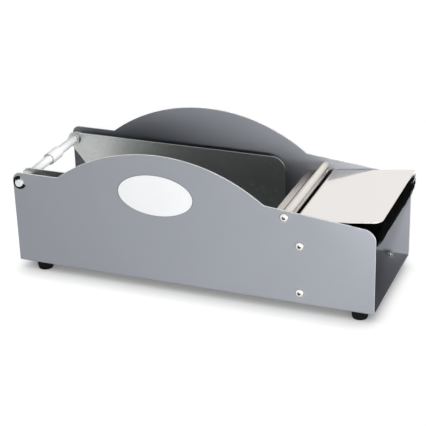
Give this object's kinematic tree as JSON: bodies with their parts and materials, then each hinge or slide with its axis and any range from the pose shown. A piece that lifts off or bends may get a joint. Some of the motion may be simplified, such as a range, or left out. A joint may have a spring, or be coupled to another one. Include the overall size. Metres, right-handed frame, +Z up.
{
  "type": "gummed tape dispenser",
  "caption": "Bench dispenser for gummed paper tape: folded steel channel with humped sides, sliding roll guides, draw bar, serrated blade, hinged pressure flap and a wet brush in a slide-out trough.",
  "frame": {"origin": "middle of the object's box, on the surface that the four feet stand on", "axes": "+X towards the front, where the tape comes out; +Z up; -Y is the side with the oval label"},
  "size_m": [0.4269, 0.1592, 0.162],
  "materials": {
    "grey_paint": "smooth satin powder coat",
    "label_white": "blank printed film",
    "black_rubber": "matt moulded",
    "zinc_steel": "zinc plated",
    "white_nylon": "turned nylon",
    "black_steel": "black phosphated spring steel",
    "galvanised": "galvanised sheet",
    "brushed_sheet": "brushed sheet",
    "bright_steel": "polished",
    "blade_steel": "hardened, ground",
    "flap_sheet": "satin stainless sheet",
    "black_plastic": "moulded",
    "black_bristle": "stiff bristle"
  },
  "bodies": {
    "chassis": {"chassis": "grey_paint", "blank_label": "label_white", "rubber_feet": "black_rubber", "foot_screws": "zinc_steel", "foot_nuts": "zinc_steel", "front_bulkhead": "brushed_sheet", "side_screws": "bright_steel", "side_nuts": "zinc_steel", "draw_bar": "bright_steel", "bar_screws": "bright_steel", "tear_blade": "blade_steel", "blade_screws": "zinc_steel", "blade_nuts": "zinc_steel", "flap_hinge_rod": "zinc_steel"},
    "roller": {"rear_roller": "white_nylon", "roller_collar": "white_nylon", "rear_clips": "black_steel"},
    "near_guide": {"near_guide_plate": "galvanised", "near_guide_sleeve": "zinc_steel"},
    "far_guide": {"far_guide_plate": "galvanised", "far_guide_sleeve": "zinc_steel"},
    "flap": {"pressure_flap": "flap_sheet"},
    "trough": {"water_trough": "black_plastic", "brush_back": "black_plastic", "brush_bristles": "black_bristle"}
  },
  "joints": [
    {"name": "roller_spin", "type": "hinge", "parent": "chassis", "child": "roller", "pos_m": [-0.205, 0, 0.109], "axis": [0, 1, 0], "continuous": true},
    {"name": "near_guide_slide", "type": "slide", "parent": "chassis", "child": "near_guide", "axis": [0, 1, 0], "range_m": [-0.0085, 0.0335]},
    {"name": "far_guide_slide", "type": "slide", "parent": "chassis", "child": "far_guide", "axis": [0, -1, 0], "range_m": [0, 0.04]},
    {"name": "flap_hinge", "type": "hinge", "parent": "chassis", "child": "flap", "pos_m": [0.118, 0, 0.10285], "axis": [0, -1, 0], "range_deg": [0, 100]},
    {"name": "trough_slide", "type": "slide", "parent": "chassis", "child": "trough", "axis": [1, 0, 0], "range_m": [0, 0.09]}
  ]
}
